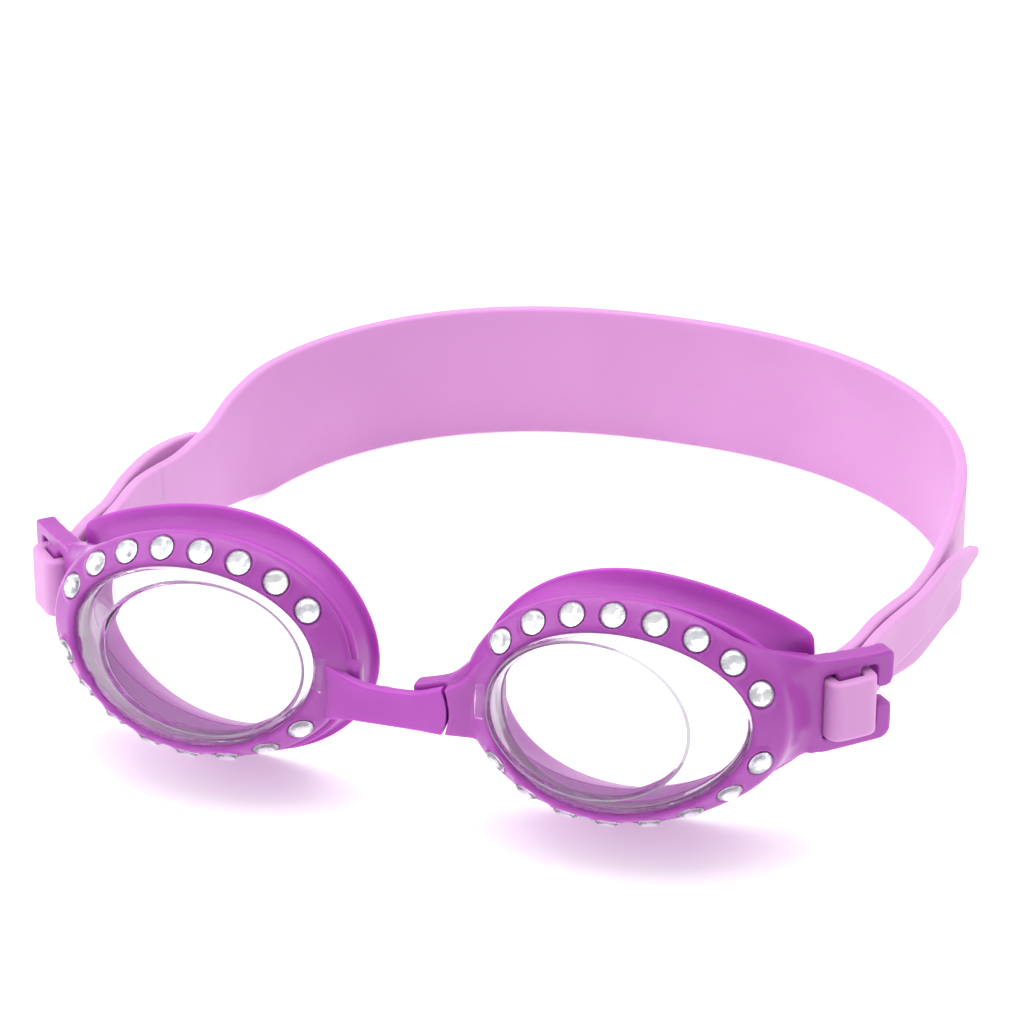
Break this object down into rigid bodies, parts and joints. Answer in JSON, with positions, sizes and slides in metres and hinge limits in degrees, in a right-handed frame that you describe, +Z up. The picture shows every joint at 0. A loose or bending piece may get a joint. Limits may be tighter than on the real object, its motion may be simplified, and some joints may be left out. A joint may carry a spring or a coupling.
{
  "type": "swim goggles",
  "caption": "Child's swim goggles: purple oval eye rims set with clear cut stones, clear lenses, soft face seals, a nose band and an adjustable stretch strap.",
  "frame": {"origin": "centre of the bounding box in plan, on the surface the goggles stand on", "axes": "+Z up, +Y towards the back of the head, +X towards the wearer's left; lenses face -Y"},
  "size_m": [0.135, 0.1464, 0.0412],
  "materials": {
    "rim": "translucent purple, softly glossy",
    "gasket": "soft clear purple silicone, satin",
    "lens": "clear, polished",
    "stone": "faceted, polished",
    "bridge": "soft purple silicone, satin",
    "strap": "milky lilac silicone, matt"
  },
  "bodies": {
    "bridge": {"nose_bridge": "bridge", "right_strap_arm": "strap", "left_strap_arm": "strap"},
    "right_cup": {"right_frame": "rim", "right_lens": "lens", "right_gasket": "gasket", "right_strap_wrap": "strap", "right_stone_01": "stone", "right_stone_02": "stone", "right_stone_03": "stone", "right_stone_04": "stone", "right_stone_05": "stone", "right_stone_06": "stone", "right_stone_07": "stone", "right_stone_08": "stone", "right_stone_09": "stone", "right_stone_10": "stone", "right_stone_11": "stone", "right_stone_12": "stone", "right_stone_13": "stone", "right_stone_14": "stone", "right_stone_15": "stone", "right_stone_16": "stone"},
    "left_cup": {"left_frame": "rim", "left_lens": "lens", "left_gasket": "gasket", "left_strap_wrap": "strap", "left_stone_01": "stone", "left_stone_02": "stone", "left_stone_03": "stone", "left_stone_04": "stone", "left_stone_05": "stone", "left_stone_06": "stone", "left_stone_07": "stone", "left_stone_08": "stone", "left_stone_09": "stone", "left_stone_10": "stone", "left_stone_11": "stone", "left_stone_12": "stone", "left_stone_13": "stone", "left_stone_14": "stone", "left_stone_15": "stone", "left_stone_16": "stone"},
    "back_loop": {"strap_back": "strap"},
    "right_tail": {"right_strap_tail": "strap"},
    "left_tail": {"left_strap_tail": "strap"}
  },
  "joints": [
    {"name": "right_cup_hinge", "type": "hinge", "parent": "bridge", "child": "right_cup", "pos_m": [0.0042, -0.0634, 0.0193], "axis": [0, 0, 1], "range_deg": [-6, 6], "stiffness_Nm_per_rad": 0.02, "deforming": ["right_strap_arm"]},
    {"name": "left_cup_hinge", "type": "hinge", "parent": "bridge", "child": "left_cup", "pos_m": [-0.0042, -0.0634, 0.0193], "axis": [0, 0, -1], "range_deg": [-6, 6], "stiffness_Nm_per_rad": 0.02, "deforming": ["left_strap_arm"]},
    {"name": "strap_adjust", "type": "slide", "parent": "bridge", "child": "back_loop", "axis": [0, -1, 0], "range_m": [-0.005, 0.014]},
    {"name": "right_tail_slide", "type": "slide", "parent": "bridge", "child": "right_tail", "axis": [0, 1, 0], "range_m": [-0.005, 0.014], "deforming": ["right_strap_tail"]},
    {"name": "left_tail_slide", "type": "slide", "parent": "bridge", "child": "left_tail", "axis": [0, 1, 0], "range_m": [-0.005, 0.014], "deforming": ["left_strap_tail"]}
  ],
  "couplings": [
    {"joint": "right_tail_slide", "follows": "strap_adjust", "ratio": 1},
    {"joint": "left_tail_slide", "follows": "strap_adjust", "ratio": 1}
  ]
}
